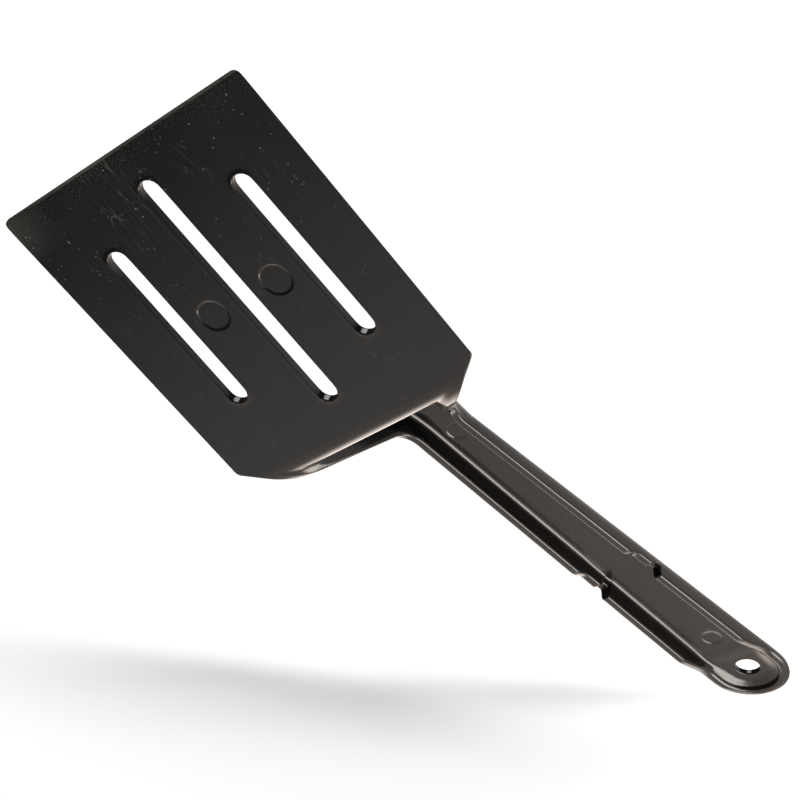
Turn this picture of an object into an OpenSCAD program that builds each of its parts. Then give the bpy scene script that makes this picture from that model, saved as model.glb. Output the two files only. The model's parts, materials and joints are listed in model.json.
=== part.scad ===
/* [Blade] */
// Width of the blade at its front edge
blade_front_w = 100; // [90:1:110]
// Width of the blade at its shoulders
blade_rear_w = 97; // [90:0.5:100]
// Distance from the front edge to the shoulders
shoulder_y = 103.8; // [98:0.1:108]
// Thickness of the blade
blade_t = 2.8; // [2:0.1:3.5]
// Thickness of the front edge, where the top is bevelled
front_edge_t = 0.9; // [0.5:0.1:1.5]
// Length of the bevel behind the front edge
front_bevel_l = 12; // [6:1:20]
// Radius of the blade's front corners
front_corner_r = 2; // [1:0.5:6]

/* [Slots] */
// Width of every slot
slot_w = 7; // [5:0.5:9]
// Distance from the middle slot to each side slot
slot_pitch = 26.5; // [22:0.5:30]
// Front end of the middle slot
mid_slot_start = 12.1; // [10:0.1:20]
// Rear end of the middle slot
mid_slot_end = 96.3; // [80:0.1:98]
// Front end of the side slots
side_slot_start = 24.6; // [15:0.1:35]
// Rear end of the side slots
side_slot_end = 83.7; // [70:0.1:90]

/* [Handle] */
// Angle of the handle above the blade
handle_tilt = 14.3; // [8:0.1:20]
// Distance from the neck's bend line to the middle of the hanging hole
hole_s = 182; // [150:0.5:220]
// Half-width of the handle where it would cross the bend line
handle_half_w = 9.4; // [8:0.1:12]
// Growth of that half-width for each millimetre towards the end
handle_flare = 0.025; // [0:0.005:0.04]
// Thickness of the side walls
wall_t = 3.2; // [2.4:0.1:4]
// Height of the handle's rims above the blade's plane, square to the handle
rim_h = 20.3; // [18:0.1:22]
// Depth of the channel under the handle
channel_d = 5.5; // [4:0.1:6.5]
// Thickness of the handle's web
web_t = 2; // [1.6:0.1:3]
// Radius of the hanging hole
hole_r = 4.2; // [3:0.1:5]

/* [Hidden] */
$fn = 64;
eps = 0.01;
far = 400;

// Finger rest: both rims step down, run low and step up again
rest_start = 107;
rest_low_start = 111;
rest_notch = 117.5;
rest_end = 121;
rest_d = 1.8;
notch_d = 3.2;

// End of the handle: the rims fall to a low lip around the hanging hole
fall_start = hole_s - 18;
fall_end = hole_s - 5;
low_rim_h = rim_h + channel_d - 1.8;
end_start = hole_s - 14.5;
eye_r = 14.1;
eye_edge_r = 2.4;
dish_floor_r = 7;
dish_rim_r = 10.8;

// Ejector marks: shallow round recesses on the underside
mark_d = 0.35;
blade_mark_r = 5.2;
blade_mark_x = 13.1;
blade_mark_y = 56.2;
web_mark_r = 3.5;
web_mark_s = [36.8, hole_s - 19.5];

// Neck: the blade turns up a steep riser and over into the handle
bend_y = 108.3;
neck_end_s = 29;
riser_slope = 76;
riser_foot_y = 112.2;
riser_head_r = 4;
rib_slope = 63.5;
rib_foot_y = 114.2;
rib_head_r = 6;
rib_w = 4.2;
arc_steps = 7;
line_steps = 6;
edge_steps = 4;

web_h = rim_h + channel_d;
top_h = web_h + web_t;
handle_y = 108.7;
tip_y = handle_y + (hole_s + eye_r) * cos(handle_tilt) - low_rim_h * sin(handle_tilt);
edge_r = wall_t - 0.2;
rim_edge_r = 0.8;
side_land = 0.4;

// Half-width of the handle at distance s from the bend line
function half_w(s) = handle_half_w + handle_flare * s;

// A point of the handle in side view: distance s along it, height h square to it
function handle_pt(s, h) = [handle_y + s * cos(handle_tilt) - h * sin(handle_tilt),
                            s * sin(handle_tilt) + h * cos(handle_tilt)];

// Side-view point where a line rising from (y0, z0) at an angle meets the handle's line at height h
function meet(y0, z0, angle, h) =
    let (a = handle_pt(0, h),
         y = (a[1] - a[0] * tan(handle_tilt) - z0 + y0 * tan(angle)) / (tan(angle) - tan(handle_tilt)))
    [y, z0 + (y - y0) * tan(angle)];

// Points on a fillet of radius r at corner b, where the path turns from angle a0 to a1
function fillet(b, a0, a1, r) =
    let (turn = a1 - a0,
         side = turn > 0 ? 1 : -1,
         reach = r * tan(abs(turn) / 2),
         centre = b - reach * [cos(a0), sin(a0)] + side * r * [-sin(a0), cos(a0)])
    [for (i = [0 : arc_steps]) let (a = a0 + turn * i / arc_steps)
        centre + side * r * [sin(a), -cos(a)]];

// Side-view path from the blade, up the riser and along the handle to the neck's end
function neck_path(z0, foot_y, slope, head_r, h) =
    let (foot = fillet([foot_y, z0], 0, slope, (foot_y - bend_y) / tan(slope / 2)),
         head = fillet(meet(foot_y, z0, slope, h), slope, handle_tilt, head_r),
         a = foot[arc_steps],
         b = head[0])
    concat(foot, [for (i = [1 : line_steps - 1]) a + (b - a) * i / line_steps],
           head, [handle_pt(neck_end_s, h)]);

top_foot_y = riser_foot_y - blade_t * tan(riser_slope / 2);
under_path = neck_path(0, riser_foot_y, riser_slope, riser_head_r, web_h);
rib_path = neck_path(0, rib_foot_y, rib_slope, rib_head_r, rim_h);
top_path = neck_path(blade_t, top_foot_y, riser_slope, riser_head_r + web_t, top_h);
last = len(rib_path) - 1;

// Half-width of the neck, from the blade's cut-off corners in to the handle
bend_half_w = blade_rear_w / 2 - 6.6;
neck_end_y = rib_path[last][0];
function neck_half_w(y) = lookup(y, [[bend_y, bend_half_w], [110.2, 39.5], [112.2, 36.9], [114.4, 33.7],
                                     [116.2, 30.7], [118.6, 25.8], [120.4, 21.9], [122.2, 18.3],
                                     [124, 15.5], [125.9, 13.5], [127.5, 12.3], [129.4, 11.1],
                                     [neck_end_y, half_w(neck_end_s)]]);
outer_w = [for (p = rib_path) neck_half_w(p[0])];
inner_w = [for (i = [0 : last]) outer_w[i] - (rib_w + (wall_t - rib_w) * i / last)];

// Section of the right rib at station i: the rim, the outer side and a rounded top edge
function rib_section(i) =
    let (rim = rib_path[i],
         up = top_path[i] - rim,
         r = min(0.9 * (outer_w[i] - inner_w[i]), 0.6 * norm(up)))
    concat([[inner_w[i], rim[0], rim[1]], [outer_w[i], rim[0], rim[1]]],
           [for (k = [0 : edge_steps])
               let (a = 90 * k / edge_steps, p = rim + up * (1 - r * (1 - sin(a)) / norm(up)))
               [outer_w[i] - r * (1 - cos(a)), p[0], p[1]]],
           [[inner_w[i], top_path[i][0], top_path[i][1]]]);

// Solid through rows of corners, with the first and last rows closed
module loft(rows) {
    m = len(rows[0]);
    end = m * (len(rows) - 1);
    points = [for (row = rows) for (p = row) p];
    sides = [for (i = [0 : m : end - m]) for (k = [0 : m - 1])
        let (a = i + k, b = i + (k + 1) % m) each [[a, b, b + m], [a, b + m, a + m]]];
    caps = [for (k = [1 : m - 2]) each [[0, k + 1, k], [end, end + k, end + k + 1]]];
    polyhedron(points = points, faces = concat(sides, caps), convexity = 6);
}

// Everything is drawn from the front edge and then centred along the part's length
module centred() {
    translate([0, -tip_y / 2, 0]) children();
}

// The handle's own frame: +Y along it from the bend line, +Z square to it
module on_handle() {
    translate([0, handle_y, 0]) rotate([handle_tilt, 0, 0]) children();
}

// A side-view outline drawn in the handle's frame, as a bar across its whole width
module across(outline) {
    rotate([90, 0, 90]) linear_extrude(far, center = true) polygon(outline);
}

module slot(x, y0, y1) {
    translate([x - slot_w / 2, y0 + slot_w / 2, -eps]) cube([slot_w, y1 - y0 - slot_w, blade_t + 2 * eps]);
    for (y = [y0 + slot_w / 2, y1 - slot_w / 2])
        translate([x, y, -eps]) cylinder(h = blade_t + 2 * eps, d = slot_w);
}

module blade_outline() {
    corner = blade_front_w / 2 - front_corner_r;
    for (x = [-corner, corner]) translate([x, front_corner_r]) circle(front_corner_r);
    polygon([[-corner, 0], [corner, 0], [corner, front_corner_r], [-corner, front_corner_r]]);
    polygon([[-blade_front_w / 2, front_corner_r], [blade_front_w / 2, front_corner_r],
             [blade_rear_w / 2, shoulder_y], [bend_half_w, bend_y],
             [-bend_half_w, bend_y], [-blade_rear_w / 2, shoulder_y]]);
}

// Bevel along one side of the blade's top, from a thin land up at 45 degrees
module side_bevel() {
    lean = atan((blade_front_w - blade_rear_w) / 2 / shoulder_y);
    translate([blade_front_w / 2, 0, side_land]) rotate([0, 0, lean]) rotate([0, -45, 0])
        translate([0, -far / 2, 0]) cube([far, far, far]);
}

module blade() {
    color([0.09, 0.088, 0.085]) difference() {
        linear_extrude(blade_t) blade_outline();
        slot(0, mid_slot_start, mid_slot_end);
        for (side = [-1, 1]) slot(side * slot_pitch, side_slot_start, side_slot_end);
        for (side = [-1, 1]) translate([side * blade_mark_x, blade_mark_y, -eps])
            cylinder(h = mark_d + eps, r = blade_mark_r);
        across([[-1, front_edge_t], [0, front_edge_t], [front_bevel_l, blade_t],
                [front_bevel_l, blade_t + 1], [-1, blade_t + 1]]);
        side_bevel();
        mirror([1, 0, 0]) side_bevel();
    }
}

module neck_riser() {
    color([0.1, 0.096, 0.092]) loft([for (i = [0 : last]) let (w = inner_w[i], u = under_path[i], t = top_path[i])
        [[-w, u[0], u[1]], [w, u[0], u[1]], [w, t[0], t[1]], [-w, t[0], t[1]]]]);
}

module neck_rib_right() {
    color([0.12, 0.115, 0.11]) loft([for (i = [0 : last]) rib_section(i)]);
}

module neck_rib_left() {
    mirror([1, 0, 0]) neck_rib_right();
}

// Cut away from the rims: the finger rest, and the fall towards the low lip
module rim_cuts() {
    across([[rest_start, rim_h - 1], [rest_start, rim_h], [rest_low_start, rim_h + rest_d],
            [rest_notch, rim_h + rest_d], [rest_notch, rim_h + notch_d],
            [rest_end, rim_h + notch_d], [rest_end, rim_h - 1]]);
    across([[fall_start, rim_h - 1], [fall_start, rim_h], [fall_end, low_rim_h],
            [far, low_rim_h], [far, rim_h - 1]]);
}

// Section of the right wall: x out from its inner face, y up from the rim
module wall_section() {
    h = top_h - rim_h;
    difference() {
        square([wall_t, h]);
        translate([wall_t - edge_r, h - edge_r]) square(edge_r + eps);
        translate([wall_t - rim_edge_r, -eps]) square([rim_edge_r + eps, rim_edge_r + eps]);
    }
    intersection() {
        translate([wall_t - edge_r, h - edge_r]) circle(edge_r);
        translate([wall_t - edge_r, h - edge_r]) square(edge_r);
    }
    translate([wall_t - rim_edge_r, rim_edge_r]) circle(rim_edge_r);
}

// Right wall of the handle between two distances along it
module wall(s0, s1) {
    lean = atan(handle_flare);
    intersection() {
        translate([handle_half_w - wall_t, 0, rim_h]) rotate([0, 0, -lean])
            rotate([90, 0, 0]) mirror([0, 0, 1]) linear_extrude(far) wall_section();
        translate([0, s0, rim_h - 1]) cube([far, s1 - s0, far]);
    }
}

// Web of the handle between two distances along it
module web(s0, s1) {
    a = half_w(s0) - wall_t;
    b = half_w(s1) - wall_t;
    translate([0, 0, web_h]) linear_extrude(web_t) polygon([[-a, s0], [a, s0], [b, s1], [-b, s1]]);
}

module handle_web() {
    color([0.15, 0.14, 0.135]) on_handle() difference() {
        web(neck_end_s, end_start);
        for (s = web_mark_s) translate([0, s, web_h - eps]) cylinder(h = mark_d + eps, r = web_mark_r);
    }
}

module handle_wall_right() {
    color([0.12, 0.115, 0.11]) on_handle() difference() {
        wall(neck_end_s, end_start);
        rim_cuts();
    }
}

module handle_wall_left() {
    mirror([1, 0, 0]) handle_wall_right();
}

// Rounded disc around the hanging hole
module eye_disc() {
    translate([0, hole_s, 0]) rotate_extrude($fn = 48) {
        translate([0, low_rim_h]) square([eye_r, top_h - low_rim_h - eye_edge_r]);
        translate([0, top_h - eye_edge_r - eps]) square([eye_r - eye_edge_r, eye_edge_r + eps]);
        intersection() {
            translate([eye_r - eye_edge_r, top_h - eye_edge_r]) circle(eye_edge_r);
            translate([eye_r - eye_edge_r, top_h - eye_edge_r]) square(eye_edge_r);
        }
    }
}

module hanging_end() {
    channel_half_w = half_w(end_start) - wall_t;
    color([0.14, 0.13, 0.125]) on_handle() difference() {
        hull() {
            wall(end_start, end_start + eps);
            mirror([1, 0, 0]) wall(end_start, end_start + eps);
            eye_disc();
        }
        rim_cuts();
        translate([0, 0, rim_h - 1]) linear_extrude(web_h - rim_h + 1)
            polygon([[-channel_half_w, end_start - eps], [channel_half_w, end_start - eps],
                     [dish_rim_r, hole_s], [-dish_rim_r, hole_s]]);
        translate([0, hole_s, low_rim_h - eps])
            cylinder(h = web_h - low_rim_h + eps, r1 = dish_rim_r, r2 = dish_floor_r);
        translate([0, hole_s, low_rim_h]) cylinder(h = top_h - low_rim_h + 1, r = hole_r);
    }
}

centred() blade();
centred() neck_riser();
centred() neck_rib_left();
centred() neck_rib_right();
centred() handle_web();
centred() handle_wall_left();
centred() handle_wall_right();
centred() hanging_end();
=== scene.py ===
"""Looks of a one-piece slotted turner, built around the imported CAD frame.

Sizes are in millimetres: x across the blade, y back from its front edge, z up from its underside, which
faces the camera. Along the handle they are (s, h): the distance along it and the height square to it.
"""
import json
import math

import bpy
import numpy as np
from mathutils import Matrix, Vector


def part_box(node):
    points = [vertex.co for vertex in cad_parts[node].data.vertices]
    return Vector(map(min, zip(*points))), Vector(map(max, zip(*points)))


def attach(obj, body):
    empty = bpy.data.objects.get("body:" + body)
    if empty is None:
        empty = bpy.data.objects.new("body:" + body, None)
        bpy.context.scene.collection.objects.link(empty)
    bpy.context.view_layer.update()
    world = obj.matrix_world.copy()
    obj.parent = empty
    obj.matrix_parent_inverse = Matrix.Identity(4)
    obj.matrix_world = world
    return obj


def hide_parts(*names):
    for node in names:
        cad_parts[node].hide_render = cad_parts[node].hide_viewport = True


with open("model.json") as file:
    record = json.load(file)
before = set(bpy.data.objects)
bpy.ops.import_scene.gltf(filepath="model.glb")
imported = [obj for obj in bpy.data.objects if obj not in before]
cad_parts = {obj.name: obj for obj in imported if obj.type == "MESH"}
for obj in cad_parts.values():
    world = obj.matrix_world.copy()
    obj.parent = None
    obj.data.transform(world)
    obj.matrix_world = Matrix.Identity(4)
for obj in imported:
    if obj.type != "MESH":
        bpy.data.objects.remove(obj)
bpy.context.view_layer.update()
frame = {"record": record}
MM = 0.001

# Sizes read from the CAD nodes and the record
blade_low, blade_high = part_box("blade")
FRONT_Y = blade_low.y
FRONT_HALF_W = blade_high.x / MM
BEND_Y = (blade_high.y - FRONT_Y) / MM
BLADE_T = blade_high.z / MM
HOLE = next(m for m in frame["record"]["mounts"] if m["name"] == "hanging_hole")
HOLE_R = HOLE["dims"]["r_mm"]
TILT = math.atan2(-HOLE["axis"][1], HOLE["axis"][2])

# Blade. Rings are half-widths of square rings of mesh lines, which to_circle makes round.
SHOULDER_Y = 103.8
SHOULDER_HALF_W = 48.4
SEAM_Y = 99.5  # where the two meshes meet
FRONT_CORNER_R = 2.2
BEVEL_END_Y = 8.7
SLOT_R = 3.5
SLOTS = [(-26.5, 28.1, 80.2), (0, 15.6, 92.8), (26.5, 28.1, 80.2)]
SLOT_RINGS = [1.75, 3.5, 3.9, 4.6, 5.6]
LIP = {3.5: -0.08, 3.9: -0.12}  # how far the slots' edges stand proud of the underside
MARK_RINGS = [0, 2.4, 4.5, 4.95, 5.2, 5.6, 6.3]
MARK_X = 13.1
MARK_Y = 56.2
MARK_DEPTH = 0.22
BEVEL = [(0, 2.25), (0.45, 1.95), (2.0, 0.35), (2.7, 0)]  # (offset in from the side, drop from the top)
FRONT_DROP = BLADE_T - 0.85

# How far the loops that hold the walls' corners crisp lie from them
BLADE_HOLD = 0.8
HANDLE_HOLD = 1.5

# Neck and handle
HANDLE_Y = 108.7  # where the handle's line leaves the blade's level
HANDLE_HALF_W = 9.4
HANDLE_WIDENING = 0.025
WALL_RIB = 3.1
NECK_RIB = 4.2
RIM_H = 20.3
WEB_H = 25.8
TOP_H = 27.8
HOLE_S = 182
NECK_END_S = 29
RISER = dict(foot_y=112.2, slope=76, head_r=4)
RIB = dict(foot_y=114.2, slope=63.5, head_r=6)
EYE_R = 14.1
LOW_RIM_H = 24
WEB_MARKS = [36.8, 162.5]
WEB_MARK_DEPTH = 0.3
WEB_LINES = [0, 1.8, 3.2, 3.5]
WEB_SHARES = [0, 0.235, 0.43, 0.51, 0.72]
TOP_STEPS = 8
EDGE_CLEAR = 0.8
EYE_RINGS = [0, 2.1, HOLE_R, 4.9, 6.3, 7.3, 8.2, 9.2, 10.2, 10.8, 11.6, 13.2, EYE_R]
EYE_LEVELS = [WEB_H] * 5 + [25.66, 25.4, 25.1, 24.85, 24.1, 23.75, 23.75, 24.1]


def place(points):
    """Millimetres from the front edge to metres in the CAD's frame."""
    return np.asarray(points, float) * MM + np.array([0, FRONT_Y, 0])


def smooth(edge0, edge1, value):
    t = np.clip((value - edge0) / (edge1 - edge0), 0, 1)
    return t * t * (3 - 2 * t)


def half_width(s):
    """Half-width of the handle at distance s along it."""
    return HANDLE_HALF_W + HANDLE_WIDENING * s


def handle_point(s, h):
    """Side-view point (y, z) at distance s along the handle and height h square to it."""
    across = HANDLE_Y + s * math.cos(TILT) - h * math.sin(TILT)
    return np.array([across, s * math.sin(TILT) + h * math.cos(TILT)])


def to_circle(x, y, limit, outer):
    """Rounds a square ring of points into a circle, out to limit, and leaves it square from outer on."""
    rho = max(abs(x), abs(y))
    if rho < 1e-9 or rho >= outer:
        return x, y
    turn = math.pi / 4 * min(abs(x), abs(y)) / rho
    long, short = rho * math.cos(turn), rho * math.sin(turn)
    if abs(x) < abs(y):
        long, short = short, long
    share = 1 if rho <= limit + 1e-6 else (outer - rho) / (outer - limit)
    cx, cy = math.copysign(long, x), math.copysign(short, y)
    return x + share * (cx - x), y + share * (cy - y)


# ---------------------------------------------------------------- meshes

def skin(name, under, top, is_open, sharp_first, sharp_last, edge):
    """Closed quad mesh between two grids of points, with walls wherever the cells stop.

    is_open says which cells are left out. A sharp first or last row ends in a crisp flat cap. edge is how far
    the holding loops lie from the corners of the walls. The mesh is then subdivided smooth.
    """
    rows, cols = under.shape[:2]
    points = [tuple(p) for layer in (under, top) for row in layer for p in row]
    grid = [(k, i, j) for k in (0, 1) for i in range(rows) for j in range(cols)]
    index = {key: n for n, key in enumerate(grid)}
    cells = {(i, j) for i in range(rows - 1) for j in range(cols - 1) if not is_open(i, j)}
    faces = []
    steps = [(-1, 0), (0, 1), (1, 0), (0, -1)]
    for i, j in sorted(cells):
        corners = [(i, j), (i, j + 1), (i + 1, j + 1), (i + 1, j)]
        faces.append([index[(0, *c)] for c in reversed(corners)])
        faces.append([index[(1, *c)] for c in corners])
        for a, b, step in zip(corners, corners[1:] + corners[:1], steps):
            if (i + step[0], j + step[1]) not in cells:
                faces += wall(a, b, index, points, edge)
    used = sorted({v for f in faces for v in f})
    renumber = {v: n for n, v in enumerate(used)}
    mesh = bpy.data.meshes.new(name)
    mesh.from_pydata([place(points[v]) for v in used], [], [[renumber[v] for v in f] for f in faces])
    mesh.validate()
    mesh.shade_smooth()
    edge_rows = [r for r, sharp in ((0, sharp_first), (rows - 1, sharp_last)) if sharp]
    crease_rows(mesh, [place([under[r][0], under[r][-1]])[:, 1].mean() for r in edge_rows])
    return subdivided(name, mesh)


def subdivided(name, mesh):
    piece = bpy.data.objects.new(name, mesh)
    bpy.context.scene.collection.objects.link(piece)
    subdivision = piece.modifiers.new("rounding", "SUBSURF")
    subdivision.levels = 2
    subdivision.render_levels = 2
    subdivision.boundary_smooth = "PRESERVE_CORNERS"
    return piece


def wall(a, b, index, points, edge):
    """Faces that join the underside to the top along a boundary edge, with loops that hold the corners."""
    chain = []
    for c in (a, b):
        low, high = index[(0, *c)], index[(1, *c)]
        if ("wall", c) not in index:
            p, q = np.array(points[low]), np.array(points[high])
            reach = min(0.36, edge / max(np.linalg.norm(q - p), 0.01))
            loops = []
            for share in (reach, 1 - reach):
                loops.append(len(points))
                points.append(tuple(p + (q - p) * share))
            index[("wall", c)] = loops
        chain.append([low, *index[("wall", c)], high])
    left, right = chain
    return [[left[k], right[k], right[k + 1], left[k + 1]] for k in range(3)]


def crease_rows(mesh, levels):
    """Keeps the flat end caps crisp, so that two pieces meet in one unbroken surface."""
    crease = mesh.attributes.new("crease_edge", "FLOAT", "EDGE")
    ends = [[mesh.vertices[v].co.y for v in e.vertices] for e in mesh.edges]
    for level in levels:
        flat = [abs(a - level) < 1e-6 and abs(b - level) < 1e-6 for a, b in ends]
        rim = boundary_edges(mesh, level)
        for e, on_cap in zip(mesh.edges, flat):
            if on_cap and e.index in rim:
                crease.data[e.index].value = 1
                e.use_edge_sharp = True


def boundary_edges(mesh, level):
    """Edges between a cap face, which lies wholly at the level, and any other face."""
    keys = {tuple(sorted(e.vertices)): e.index for e in mesh.edges}
    found = {}
    for polygon in mesh.polygons:
        on_cap = all(abs(mesh.vertices[v].co.y - level) < 1e-6 for v in polygon.vertices)
        for key in polygon.edge_keys:
            found.setdefault(keys[tuple(sorted(key))], []).append(on_cap)
    return {e for e, kinds in found.items() if any(kinds) and not all(kinds)}


# ---------------------------------------------------------------- blade

def mirrored(values):
    """A list of half-widths from the centre out, as lines right across."""
    return [-v for v in reversed(values)] + [v for v in values if v > 0]


def blade_half_width(y):
    """Half-width of the blade, which narrows from the front edge to the shoulders."""
    return FRONT_HALF_W + (SHOULDER_HALF_W - FRONT_HALF_W) * y / SHOULDER_Y


def both_sides(centre, rings):
    """Mesh lines at every ring's distance on both sides of a centre."""
    return [centre + side * r for side in (-1, 1) for r in rings]


def blade_columns():
    """Mesh lines across the blade: half-widths from the centre, and offsets in from the tapering side."""
    slot_x = SLOTS[-1][0]
    slot_lines = both_sides(slot_x, SLOT_RINGS) + [slot_x]
    mark_lines = [MARK_X] + both_sides(MARK_X, MARK_RINGS[1:])
    inner = sorted([0, *SLOT_RINGS, *mark_lines, *slot_lines])
    return inner, [9, 3.5] + [offset for offset, drop in reversed(BEVEL)]


def blade_rows():
    """Mesh lines along the blade, as distances from its front edge."""
    rows = [0, 0.5, 1.6, 4.2, 7.2, BEVEL_END_Y, 19.5, 40, 70, 89, SEAM_Y - 0.5, SEAM_Y]
    for x, start, end in SLOTS[:2]:
        rows += [start - r for r in [0, *SLOT_RINGS]] + [end + r for r in [0, *SLOT_RINGS]]
    rows += [MARK_Y] + both_sides(MARK_Y, MARK_RINGS[1:])
    return sorted(rows)


def shaped(x, y):
    """Moves a grid point of the blade onto the slots' and marks' rings, and gives it its height."""
    for slot_x, start, end in SLOTS:
        dx = x - slot_x
        beyond = min(y - start, 0) + max(y - end, 0)
        if max(abs(dx), abs(beyond)) < SLOT_RINGS[-1] - 0.01:
            ring = max(abs(dx), abs(beyond))
            dx, dy = to_circle(dx, beyond, SLOT_RINGS[3], SLOT_RINGS[4])
            lip = next((h for r, h in LIP.items() if abs(ring - r) < 0.01), 0)
            return slot_x + dx, y - beyond + dy, lip
    for mark_x in (-MARK_X, MARK_X):
        dx, dy = x - mark_x, y - MARK_Y
        ring = max(abs(dx), abs(dy))
        if ring < MARK_RINGS[-1] - 0.01:
            dx, dy = to_circle(dx, dy, MARK_RINGS[5], MARK_RINGS[6])
            return mark_x + dx, MARK_Y + dy, MARK_DEPTH if ring < MARK_RINGS[3] + 0.01 else 0
    return x, y, 0


def make_blade():
    """The blade's plate, in front of the seam."""
    inner, offsets = blade_columns()
    rows = blade_rows()
    outer_drops = [0] * (len(inner) + 2) + [drop for offset, drop in reversed(BEVEL)]
    drops = outer_drops[:0:-1] + outer_drops
    under, top = [], []
    for y in rows:
        w = blade_half_width(y)
        columns = mirrored(inner + [w - o for o in offsets])
        under_row, top_row = blade_row(y, w, columns, drops)
        under.append(under_row)
        top.append(top_row)
    nominal = mirrored(inner + [FRONT_HALF_W - o for o in offsets])

    def in_slot(i, j):
        x = sum(nominal[j:j + 2]) / 2
        y = sum(rows[i:i + 2]) / 2
        return any(abs(x - at) < SLOT_R and start - SLOT_R < y < end + SLOT_R for at, start, end in SLOTS)

    return skin("blade_plate", np.array(under), np.array(top), in_slot, False, True, BLADE_HOLD)


def blade_row(y, w, columns, drops):
    """Underside and top points of the blade at distance y from its front edge."""
    front = np.interp(y, [0, BEVEL_END_Y - 0.6, BEVEL_END_Y + 0.9], [FRONT_DROP, 0.1, 0])
    lift = 0
    if y < 0.1:
        front += 0.1
        lift = 0.12
    under_row, top_row = [], []
    for x, drop in zip(columns, drops):
        px, py, height = shaped(x, y)
        cx, cy = corner_round(px, py, w)
        under_row.append((cx, cy, height + lift))
        top_row.append((cx, cy, BLADE_T - max(drop, front)))
    return under_row, top_row


def corner_round(x, y, w):
    """Rounds the blade's front corners."""
    dx = abs(x) - (w - FRONT_CORNER_R)
    dy = y - FRONT_CORNER_R
    if dx <= 0 or dy >= 0:
        return x, y
    dx, dy = to_circle(dx, dy, FRONT_CORNER_R, FRONT_CORNER_R * 2)
    return math.copysign(w - FRONT_CORNER_R + dx, x), FRONT_CORNER_R + dy


# ---------------------------------------------------------------- neck and handle

def meet(y0, z0, angle, h):
    """Where a line that rises from (y0, z0) meets the handle's line at height h."""
    ay, az = handle_point(0, h)
    rise, tilt = math.tan(angle), math.tan(TILT)
    y = (az - ay * tilt - z0 + y0 * rise) / (rise - tilt)
    return np.array([y, z0 + (y - y0) * rise])


def fillet(corner, a0, a1, r, steps):
    """Points on a fillet of radius r, where a path turns from angle a0 to a1."""
    side = 1 if a1 > a0 else -1
    reach = r * math.tan(abs(a1 - a0) / 2)
    along = np.array([math.cos(a0), math.sin(a0)])
    square = np.array([-math.sin(a0), math.cos(a0)])
    centre = corner - reach * along + side * r * square
    return [centre + side * r * np.array([math.sin(a), -math.cos(a)]) for a in np.linspace(a0, a1, steps)]


def neck_path(z0, foot_y, slope, head_r, h):
    """Side view from the bend line up the riser and over into the handle."""
    slope = math.radians(slope)
    foot = fillet(np.array([foot_y, z0]), 0, slope, (foot_y - BEND_Y) / math.tan(slope / 2), 7)
    head = fillet(meet(foot_y, z0, slope, h), slope, TILT, head_r, 7)
    middle = [foot[-1] + (head[0] - foot[-1]) * k / 5 for k in range(1, 5)]
    return foot + middle + head + [handle_point(NECK_END_S, h)]


def neck_half_width(y):
    """Half-width behind the seam, through the neck's curved ribs to the handle."""
    ys = [SEAM_Y, SHOULDER_Y, BEND_Y]
    ws = [48.45, SHOULDER_HALF_W, 41.9]
    ys += [110.2, 112.2, 114.4, 116.2, 118.6, 120.4, 122.2, 124, 125.9, 127.5, 129.4, 131.8]
    ws += [39.5, 36.9, 33.7, 30.7, 25.8, 21.9, 18.3, 15.5, 13.5, 12.3, 11.1, 10.1]
    return float(np.interp(y, ys, ws))


def rim_height(s):
    """Height of the handle's rims: a finger rest with a deep notch, and a fall towards the end."""
    ss = [105.6, 107.2, 109.4, 111.2, 117.0, 117.4, 120.6, 121.0, 163, 165, 175, 177.5]
    hs = [RIM_H, RIM_H + 0.25, 21.9, 22.1, 22.1, 23.7, 23.7, RIM_H - 0.1, RIM_H, 20.9, 23.6, LOW_RIM_H]
    return float(np.interp(s, ss, hs))


def arc_profile(r):
    """(offset in from the side, drop from the top) of a rounded top edge."""
    return [(r * (1 - math.cos(a)), r * (1 - math.sin(a))) for a in np.radians([0, 30, 60, 90])]


def under_lines(w, rib, web_lines=None):
    """x of the lines along the underside, centre out: the web, its fillet, the inner wall and the rim."""
    inner = w - rib
    lines = [share * inner for share in WEB_SHARES] if web_lines is None else web_lines
    lines = lines + [inner - offset for offset in (2.9, 0.45, 0.4, 0.12)]
    return lines + [inner + 0.05, w - rib * 0.62, w - rib * 0.45, w]


def top_profile(w, edge):
    """(x, drop) of the lines along the top, centre out, with the shaped edge last."""
    reach = max(offset for offset, drop in edge)
    flat = [((w - reach - EDGE_CLEAR) * k / TOP_STEPS, 0) for k in range(TOP_STEPS + 1)]
    return flat + [(w - offset, drop) for offset, drop in reversed(edge)]


def section(w, rib, rim, floor, top, edge, web_lines=None):
    """Half a section, centre out: underside points and top points as (x, y, z).

    rim, floor and top are side-view points of the rim's crest, the web and the top face.
    """
    floor_shares = [1] * 7 + [0.58, 0.24, 0, 0, 0, 0]
    under = [(x, *(rim + (floor - rim) * k)) for x, k in zip(under_lines(w, rib, web_lines), floor_shares)]
    up = top - rim
    length = np.linalg.norm(up)
    return under, [(x, *(top - up * (drop / length))) for x, drop in top_profile(w, edge)]


def plate_section(y):
    """Half a section of the flat plate between the seam and the bend: the blade's bevel turns round."""
    w = neck_half_width(y)
    bend = smooth(SEAM_Y + 2.5, BEND_Y, y)
    edge = [tuple(np.array(a) * (1 - bend) + np.array(b) * bend) for a, b in zip(BEVEL, arc_profile(1.3))]
    flat_xs = [w * k / 8 * 0.8 for k in range(9)] + [w - offset for offset, drop in reversed(BEVEL)]
    mixed = [a * (1 - bend) + b * bend for a, b in zip(flat_xs, under_lines(w, NECK_RIB))]
    return [(x, y, 0) for x in mixed], [(x, y, BLADE_T - drop) for x, drop in top_profile(w, edge)]


def top_edge_r(s):
    return float(np.interp(s, [NECK_END_S, 60, 167], [5.2, 4.6, 3.0]))


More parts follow.
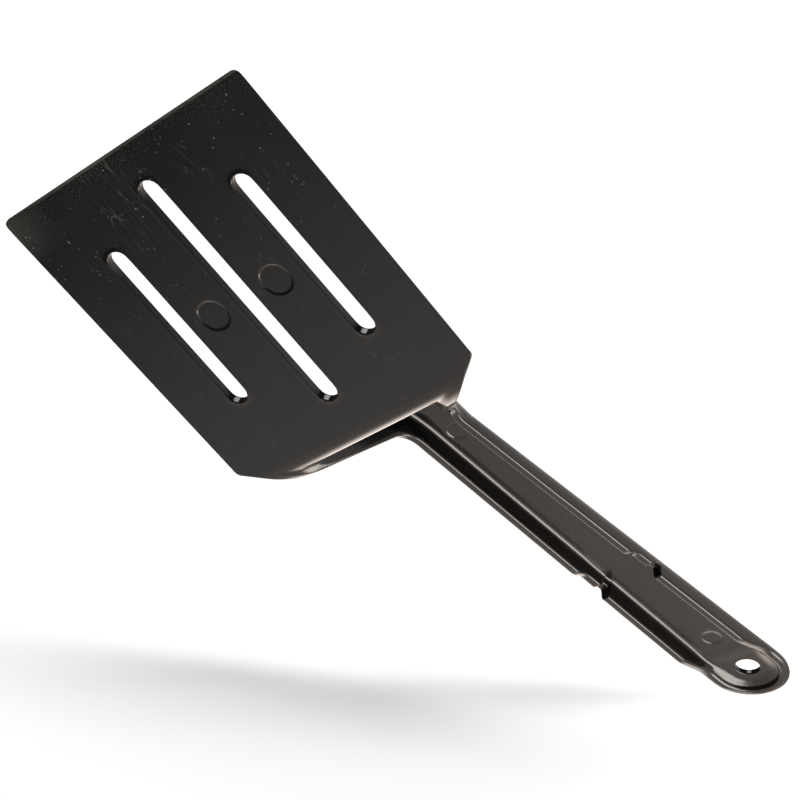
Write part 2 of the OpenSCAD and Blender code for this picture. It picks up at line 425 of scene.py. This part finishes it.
def straight_section(s, edge, web_lines=None):
    """Half a section of the plain handle at distance s."""
    return section(half_width(s), WALL_RIB, handle_point(s, rim_height(s)), handle_point(s, WEB_H),
                   handle_point(s, TOP_H), edge, web_lines)


def handle_section(s):
    """Half a section of the handle at distance s, with the web's round marks worked in."""
    web = [*WEB_LINES, (WEB_LINES[3] + half_width(s) - WALL_RIB - 1.6) / 2]
    under, upper = straight_section(s, arc_profile(top_edge_r(s)), web)
    for mark in WEB_MARKS:
        for k in range(4):
            ds = s - mark
            ring = max(WEB_LINES[k], abs(ds))
            if ring < WEB_LINES[3] + 0.3:
                dx, ds = to_circle(WEB_LINES[k], ds, WEB_LINES[3], WEB_LINES[3] + 0.5)
                depth = WEB_MARK_DEPTH if ring < WEB_LINES[2] + 0.01 else 0
                under[k] = (dx, *handle_point(mark + ds, WEB_H + depth))
    return under, upper


END_EDGE = arc_profile(3.0)
END_TOP = [(x / half_width(HOLE_S) * EYE_R, drop) for x, drop in top_profile(half_width(HOLE_S), END_EDGE)]
EDGE_RHO = [EYE_R - offset for offset, drop in reversed(END_EDGE)]
EDGE_DROP = [drop for offset, drop in reversed(END_EDGE)]


def end_section(ds):
    """Half a section of the end, at distance ds past the hanging hole's centre."""
    blend = smooth(-14, 0, ds)
    under, upper = straight_section(HOLE_S + ds, END_EDGE)
    under = [end_under_point(k, point, ds, blend) for k, point in enumerate(under)]
    return under, [end_top_point(k, point[0], ds, blend) for k, point in enumerate(upper)]


def end_circle(x, ds):
    """Past the hole's centre the whole end is round. Before it, only the rings next to the hole are."""
    if ds > 0:
        return to_circle(x, ds, EYE_R, 99)
    return to_circle(x, ds, EYE_RINGS[3], EYE_RINGS[5])


def end_under_point(k, straight, ds, blend):
    """Point k of the end's underside, where the straight section turns into the dish round the hole."""
    x = straight[0] * (1 - blend) + EYE_RINGS[k] * blend
    cx, cy = end_circle(x, ds)
    above = np.array(straight[1:]) - handle_point(HOLE_S + ds, 0)
    wall_level = np.dot(above, [-math.sin(TILT), math.cos(TILT)])
    dish_level = float(np.interp(max(x, abs(ds)), EYE_RINGS, EYE_LEVELS))
    level = wall_level * (1 - blend) + dish_level * blend
    return (cx, *handle_point(HOLE_S + cy, level))


def end_top_point(k, straight_x, ds, blend):
    """Point k of the end's top, with its rounded edge."""
    round_x, drop = END_TOP[k]
    x = hole_top_line(k, straight_x * (1 - blend) + round_x * blend, blend)
    cx, cy = end_circle(x, ds)
    if ds > 0:
        drop = float(np.interp(max(cx, ds, math.hypot(cx, cy)), EDGE_RHO, EDGE_DROP))
    return (cx, *handle_point(HOLE_S + cy, TOP_H - drop))


def hole_top_line(k, x, blend):
    """On the top, the lines by the hanging hole follow the underside's rings, and the others keep clear."""
    ring = EYE_RINGS[k] if k < 5 else max(x, EYE_RINGS[4] + 0.5 * (k - 4))
    return x * (1 - blend) + ring * blend


def handle_stations():
    """Distances along the handle at which its sections are set."""
    marks = [s for mark in WEB_MARKS for s in both_sides(mark, WEB_LINES[1:])] + WEB_MARKS
    finger_rest = [104.5, 105.6, 107.2, 109.4, 111.2, 113.5]
    notch = [116.3, 117.0, 117.4, 118.0, 119.9, 120.6, 121.0, 121.7, 123.5]
    even = [43, 50, 60, 70, 80, 90, 98, 130, 137, 144, 151, 156]
    return sorted(marks + finger_rest + notch + even)


def neck_sections():
    """Half sections from the bend up the riser and its two ribs into the handle."""
    rims = neck_path(0, h=RIM_H, **RIB)
    floors = neck_path(0, h=WEB_H, **RISER)
    top_foot = RISER["foot_y"] - BLADE_T * math.tan(math.radians(RISER["slope"]) / 2)
    tops = neck_path(BLADE_T, top_foot, RISER["slope"], RISER["head_r"] + TOP_H - WEB_H, TOP_H)
    halves = []
    for k, (rim, floor, top) in enumerate(zip(rims, floors, tops)):
        share = k / (len(rims) - 1)
        rib = NECK_RIB - (NECK_RIB - WALL_RIB) * share
        edge_r = min(0.55 * np.linalg.norm(top - rim), 1.3 + 4.2 * smooth(0.2, 0.9, share))
        halves.append(section(neck_half_width(rim[0]), rib, rim, floor, top, arc_profile(edge_r)))
    return halves


def whole(half):
    """A section right across from its centre-out half."""
    return [(-x, y, z) for x, y, z in reversed(half)] + half[1:]


def make_handle():
    """Everything behind the seam: the bend, the neck, the handle and the hanging end."""
    halves = [plate_section(y) for y in (SEAM_Y, SEAM_Y + 0.5, 102.2, 103.2, 104.2, 105.2, 107)]
    halves += neck_sections()
    halves += [handle_section(s) for s in handle_stations()]
    rings = EYE_RINGS[1:]
    distances = [-13, -11, -8.6] + [-r for r in reversed(rings[:4])] + [0] + rings
    hole_start = len(halves) + distances.index(-HOLE_R)
    hole_end = len(halves) + distances.index(HOLE_R)
    halves += [end_section(ds) for ds in distances]
    under = np.array([whole(low) for low, high in halves])
    top = np.array([whole(high) for low, high in halves])
    middle = len(EYE_RINGS) - 1

    def in_hole(i, j):
        return hole_start <= i < hole_end and middle - 2 <= j < middle + 2

    return skin("neck_and_handle", under, top, in_hole, True, False, HANDLE_HOLD)


# ---------------------------------------------------------------- material

class Tree:
    """Short calls that build the nodes of one material or world."""

    def __init__(self, owner):
        owner.use_nodes = True
        self.nodes = owner.node_tree.nodes
        self.links = owner.node_tree.links

    def coordinates(self, kind):
        """A texture coordinate as its vector, x, y and z."""
        vector = self.nodes.new("ShaderNodeTexCoord").outputs[kind]
        split = self.nodes.new("ShaderNodeSeparateXYZ")
        self.links.new(vector, split.inputs[0])
        return vector, split.outputs["X"], split.outputs["Y"], split.outputs["Z"]

    def put(self, value, socket):
        """Sets a socket to a constant or links it to another socket."""
        if isinstance(value, (int, float, tuple)):
            socket.default_value = value
        else:
            self.links.new(value, socket)

    def ramp(self, source, low, high, at_low, at_high):
        """Runs from at_low to at_high while the source runs from low to high, and is level beyond."""
        node = self.nodes.new("ShaderNodeMapRange")
        names = ("From Min", "From Max", "To Min", "To Max")
        for name, value in zip(names, (low, high, at_low, at_high)):
            node.inputs[name].default_value = value
        self.links.new(source, node.inputs["Value"])
        return node.outputs["Result"]

    def math(self, operation, a, b=0, clamp=False):
        node = self.nodes.new("ShaderNodeMath")
        node.operation = operation
        node.use_clamp = clamp
        self.put(a, node.inputs[0])
        self.put(b, node.inputs[1])
        return node.outputs[0]

    def product(self, first, *others):
        for other in others:
            first = self.math("MULTIPLY", first, other)
        return first

    def largest(self, first, *others):
        for other in others:
            first = self.math("MAXIMUM", first, other)
        return first

    def noise(self, vector, scale, detail, distortion=0):
        node = self.nodes.new("ShaderNodeTexNoise")
        node.inputs["Scale"].default_value = scale
        node.inputs["Detail"].default_value = detail
        node.inputs["Distortion"].default_value = distortion
        self.links.new(vector, node.inputs["Vector"])
        return node.outputs["Fac"]

    def blend(self, factor, a, b):
        """A colour between a and b."""
        node = self.nodes.new("ShaderNodeMix")
        node.data_type = "RGBA"
        self.put(factor, node.inputs["Factor"])
        self.put(a, node.inputs["A"])
        self.put(b, node.inputs["B"])
        return node.outputs["Result"]


BLACK = (0.0028, 0.0028, 0.0028, 1)
WARM_BLACK = (0.0065, 0.0058, 0.0052, 1)
# Grey of the dust, scratches and haze, and of the painted highlight on the front edge
DUST_AND_HIGHLIGHT_GREY = (0.22, 0.21, 0.19, 1)


def from_front(distance):
    """The frame's y, in metres, at a distance in millimetres from the blade's front edge."""
    return FRONT_Y + distance * MM


def scratches(tree, vector, angle, stretch, scale, width):
    """Sparse hairlines: the middle level of a noise that is drawn out along one direction."""
    mapping = tree.nodes.new("ShaderNodeMapping")
    mapping.inputs["Rotation"].default_value = (0, 0, angle)
    mapping.inputs["Scale"].default_value = (stretch, 1, 1)
    tree.links.new(vector, mapping.inputs["Vector"])
    line = tree.noise(mapping.outputs[0], scale, detail=1, distortion=0.15)
    hair = tree.ramp(tree.math("ABSOLUTE", tree.math("SUBTRACT", line, 0.5)), 0, width, 1, 0)
    patches = tree.ramp(tree.noise(vector, scale=45, detail=2), 0.5, 0.62, 0, 1)
    return tree.product(hair, patches)


def hairlines(tree, vector, front):
    """Two crossing sets of scratches, strongest towards the front."""
    one = scratches(tree, vector, angle=0.6, stretch=6, scale=26, width=0.006)
    other = scratches(tree, vector, angle=-0.9, stretch=7, scale=30, width=0.005)
    return tree.product(tree.largest(one, other), tree.ramp(front, 0, 1, 0.25, 1))


def dust_specks(tree, vector, front):
    """Small round specks in patches, most of them towards the front."""
    cells = tree.nodes.new("ShaderNodeTexVoronoi")
    cells.inputs["Scale"].default_value = 620
    tree.links.new(vector, cells.inputs["Vector"])
    speck = tree.ramp(cells.outputs["Distance"], 0.1, 0.2, 1, 0)
    patches = tree.ramp(tree.noise(vector, scale=160, detail=2), 0.53, 0.64, 0, 1)
    return tree.product(speck, patches, tree.ramp(front, 0, 1, 0.15, 0.9))


def front_sand(tree, vector, y, cloudy):
    """Fine dust along the front edge."""
    grains = tree.ramp(tree.noise(vector, scale=2100, detail=1), 0.55, 0.75, 0, 1)
    strip = tree.ramp(y, FRONT_Y, from_front(16), 0.4, 0)
    return tree.product(grains, tree.product(strip, cloudy))


def painted_front_edge_highlight(tree, y, cloudy):
    """A painted highlight: a thin lighter line on the front edge, where light catches it."""
    line = tree.ramp(y, from_front(0.2), from_front(1.1), 1, 0)
    return tree.product(line, tree.ramp(cloudy, 0.35, 0.6, 0.4, 1))


def corner_haze(tree, x, y, cloudy):
    """A dull patch in the left front corner."""
    across = tree.ramp(x, -FRONT_HALF_W * MM, -34 * MM, 1, 0)
    return tree.product(across, tree.ramp(y, FRONT_Y, from_front(16), 1, 0), cloudy)


def nylon():
    """Glossy black moulded nylon: soft gloss variation, hairline scratches, a dusty front, and a painted
    highlight line on the front edge.
    """
    material = bpy.data.materials.new("glossy_black_nylon")
    tree = Tree(material)
    shader = tree.nodes["Principled BSDF"]
    shader.inputs["IOR"].default_value = 1.5
    vector, x, y, z = tree.coordinates("Object")
    front = tree.ramp(y, FRONT_Y, from_front(55), 1, 0)
    handle = tree.ramp(y, from_front(125), from_front(150), 0, 1)
    cloudy = tree.noise(vector, scale=38, detail=4, distortion=0.3)
    hairs = hairlines(tree, vector, front)
    # Lighter marks: real dust, scratches and haze, and the painted highlight along the front edge
    light = tree.largest(dust_specks(tree, vector, front), tree.product(hairs, 0.24),
                         front_sand(tree, vector, y, cloudy), tree.product(painted_front_edge_highlight(tree, y, cloudy), 0.5),
                         tree.product(corner_haze(tree, x, y, cloudy), 0.45))
    warmth = tree.product(cloudy, tree.ramp(handle, 0, 1, 0.6, 1.5))
    body = tree.blend(warmth, BLACK, WARM_BLACK)
    tree.links.new(tree.blend(light, body, DUST_AND_HIGHLIGHT_GREY), shader.inputs["Base Color"])

    gloss = tree.math("ADD", tree.ramp(cloudy, 0.3, 0.7, 0.13, 0.2), tree.product(handle, 0.03))
    gloss = tree.math("ADD", gloss, tree.product(light, 0.5))
    tree.links.new(gloss, shader.inputs["Roughness"])
    tree.links.new(surface_bump(tree, vector, hairs, cloudy), shader.inputs["Normal"])
    return material


def surface_bump(tree, vector, hairs, cloudy):
    """Fine grain, scratches cut in, and the slow waves of a moulded surface."""
    grain = tree.noise(vector, scale=2600, detail=2)
    height = tree.math("SUBTRACT", tree.product(grain, 0.12), tree.product(hairs, 0.6))
    bump = tree.nodes.new("ShaderNodeBump")
    bump.inputs["Strength"].default_value = 0.5
    bump.inputs["Distance"].default_value = 0.00002
    tree.links.new(tree.math("ADD", height, tree.product(cloudy, 3.0)), bump.inputs["Height"])
    return bump.outputs["Normal"]


# ---------------------------------------------------------------- studio

# The photograph's viewpoint, fitted to the object's edges: where it is (mm) and which way it faces
CAMERA_AT = (416.39, -99.46, -495.48)
CAMERA_LENS = 105.14
RIGHT = Vector((0.7152, 0.6234, 0.3160))
UP = Vector((0.3653, -0.7189, 0.5913))
FORWARD = Vector((-0.5958, 0.3075, 0.7419))

# The floor, from the camera, in metres to its right, up and forward
FLOOR_NEAR = (-0.045, -0.084, 0.650)
FLOOR_FAR = (0.080, -0.094, 0.781)
FLOOR_TILT = 0.065
FLOOR_GLOW = 0.54
FLOOR_REACH = 5
FADE_START = 0.1
FADE_END = 0.25

WORLD_LIGHT = 0.92
BEHIND_LIGHT = 2.6
BACKGROUND_SEEN = 1.1
WHITE = (1, 1, 1, 1)
WARM_WHITE = (1, 0.87, 0.79, 1)


def from_camera(right, up, forward):
    """A point, in metres to the camera's right, up and forward."""
    return Vector(place(CAMERA_AT)) + FORWARD * forward + RIGHT * right + UP * up


def make_camera():
    """The photograph's viewpoint: below the blade, in front and to its right."""
    data = bpy.data.cameras.new("camera")
    data.lens = CAMERA_LENS
    data.sensor_width = 36
    data.clip_start = 0.01
    camera = bpy.data.objects.new("camera", data)
    axes = Matrix((RIGHT, UP, -FORWARD)).transposed().to_4x4()
    camera.matrix_world = Matrix.Translation(place(CAMERA_AT)) @ axes
    bpy.context.scene.collection.objects.link(camera)
    bpy.context.scene.camera = camera


def aim(obj, location, target):
    obj.location = location
    obj.rotation_euler = (Vector(target) - Vector(location)).to_track_quat("-Z", "Y").to_euler()


def make_light(name, location, size, radiance, colour):
    """A soft square light that looks as bright as radiance."""
    data = bpy.data.lights.new(name, "AREA")
    data.size = size
    data.energy = radiance * math.pi * size * size
    data.color = colour
    light = bpy.data.objects.new(name, data)
    aim(light, location, (0, 0, 0.03))
    bpy.context.scene.collection.objects.link(light)


def floor_corners(near, far):
    """Corners of a wide level square through near and far, which faces the camera's side of the object."""
    level = (far - near).normalized()
    back = (FORWARD * math.cos(FLOOR_TILT) + UP * math.sin(FLOOR_TILT)).normalized()
    normal = level.cross(back).normalized()
    normal = normal if normal.dot(UP) > 0 else -normal
    side = RIGHT - normal * RIGHT.dot(normal)
    depth = normal.cross(side)
    reach_side = side.normalized()
    reach_back = depth.normalized()
    ends = ((-1, -1), (1, -1), (1, 1), (-1, 1))
    return [near + reach_side * a * FLOOR_REACH + reach_back * b * FLOOR_REACH for a, b in ends]


def floor_material(near):
    """Pale and slightly lit from within. It fades out away from near, and is clear from behind."""
    material = bpy.data.materials.new("pale_floor")
    tree = Tree(material)
    shader = tree.nodes["Principled BSDF"]
    shader.inputs["Base Color"].default_value = (0.86, 0.86, 0.86, 1)
    shader.inputs["Roughness"].default_value = 0.9
    shader.inputs["Specular IOR Level"].default_value = 0
    shader.inputs["Emission Color"].default_value = WHITE
    shader.inputs["Emission Strength"].default_value = FLOOR_GLOW
    away = tree.nodes.new("ShaderNodeVectorMath")
    away.operation = "DISTANCE"
    away.inputs[1].default_value = near
    tree.links.new(tree.nodes.new("ShaderNodeTexCoord").outputs["Object"], away.inputs[0])
    fade = tree.ramp(away.outputs["Value"], FADE_START, FADE_END, 0, 1)
    behind = tree.nodes.new("ShaderNodeNewGeometry").outputs["Backfacing"]
    mix = tree.nodes.new("ShaderNodeMixShader")
    tree.links.new(tree.largest(fade, behind), mix.inputs["Fac"])
    tree.links.new(shader.outputs[0], mix.inputs[1])
    tree.links.new(tree.nodes.new("ShaderNodeBsdfTransparent").outputs[0], mix.inputs[2])
    tree.links.new(mix.outputs[0], tree.nodes["Material Output"].inputs["Surface"])
    return material


def make_floor():
    """A plain pale floor, below the object in the camera's view. Reflections don't show it."""
    near = from_camera(*FLOOR_NEAR)
    mesh = bpy.data.meshes.new("floor")
    mesh.from_pydata(floor_corners(near, from_camera(*FLOOR_FAR)), [], [(0, 1, 2, 3)])
    floor = bpy.data.objects.new("floor", mesh)
    bpy.context.scene.collection.objects.link(floor)
    floor.data.materials.append(floor_material(near))
    floor.visible_glossy = False
    floor.visible_shadow = False


def make_world():
    """White to the eye. As light, a soft grey studio: dark in front of the blade, bright behind the neck."""
    world = bpy.data.worlds.new("studio")
    tree = Tree(world)
    vector, x, y, z = tree.coordinates("Generated")
    grey = tree.ramp(y, 0.14, 0.32, 0.05, WORLD_LIGHT)
    behind = tree.product(tree.ramp(y, 0.42, 0.6, 0, 1), tree.ramp(z, -0.32, 0.05, 0, BEHIND_LIGHT),
                          tree.ramp(x, -0.58, -0.4, 1, 0))
    seen = tree.nodes.new("ShaderNodeLightPath").outputs["Is Camera Ray"]
    warm = tree.math("SUBTRACT", tree.ramp(y, 0.2, 0.42, 0, 1), seen, clamp=True)
    strength = tree.largest(tree.math("ADD", grey, behind), tree.product(seen, BACKGROUND_SEEN))
    background = tree.nodes["Background"]
    tree.links.new(tree.blend(warm, WHITE, WARM_WHITE), background.inputs["Color"])
    tree.links.new(strength, background.inputs["Strength"])
    bpy.context.scene.world = world


# ---------------------------------------------------------------- the scene

make_camera()
make_world()
make_floor()
make_light("key_above", UP * 0.75 - RIGHT * 0.05, size=0.45, radiance=5, colour=(1, 1, 1))
make_light("key_below", Vector((0.06, 0.75, -0.65)) * 0.9, size=0.5, radiance=10, colour=(1, 0.94, 0.87))
bpy.context.scene.view_settings.view_transform = "Standard"

finish = nylon()
blade_piece = make_blade()
handle_piece = make_handle()
for piece in (blade_piece, handle_piece):
    piece.data.materials.append(finish)
    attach(piece, "root")
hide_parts("blade")
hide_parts("neck_riser", "neck_rib_left", "neck_rib_right", "handle_web",
            "handle_wall_left", "handle_wall_right", "hanging_end")
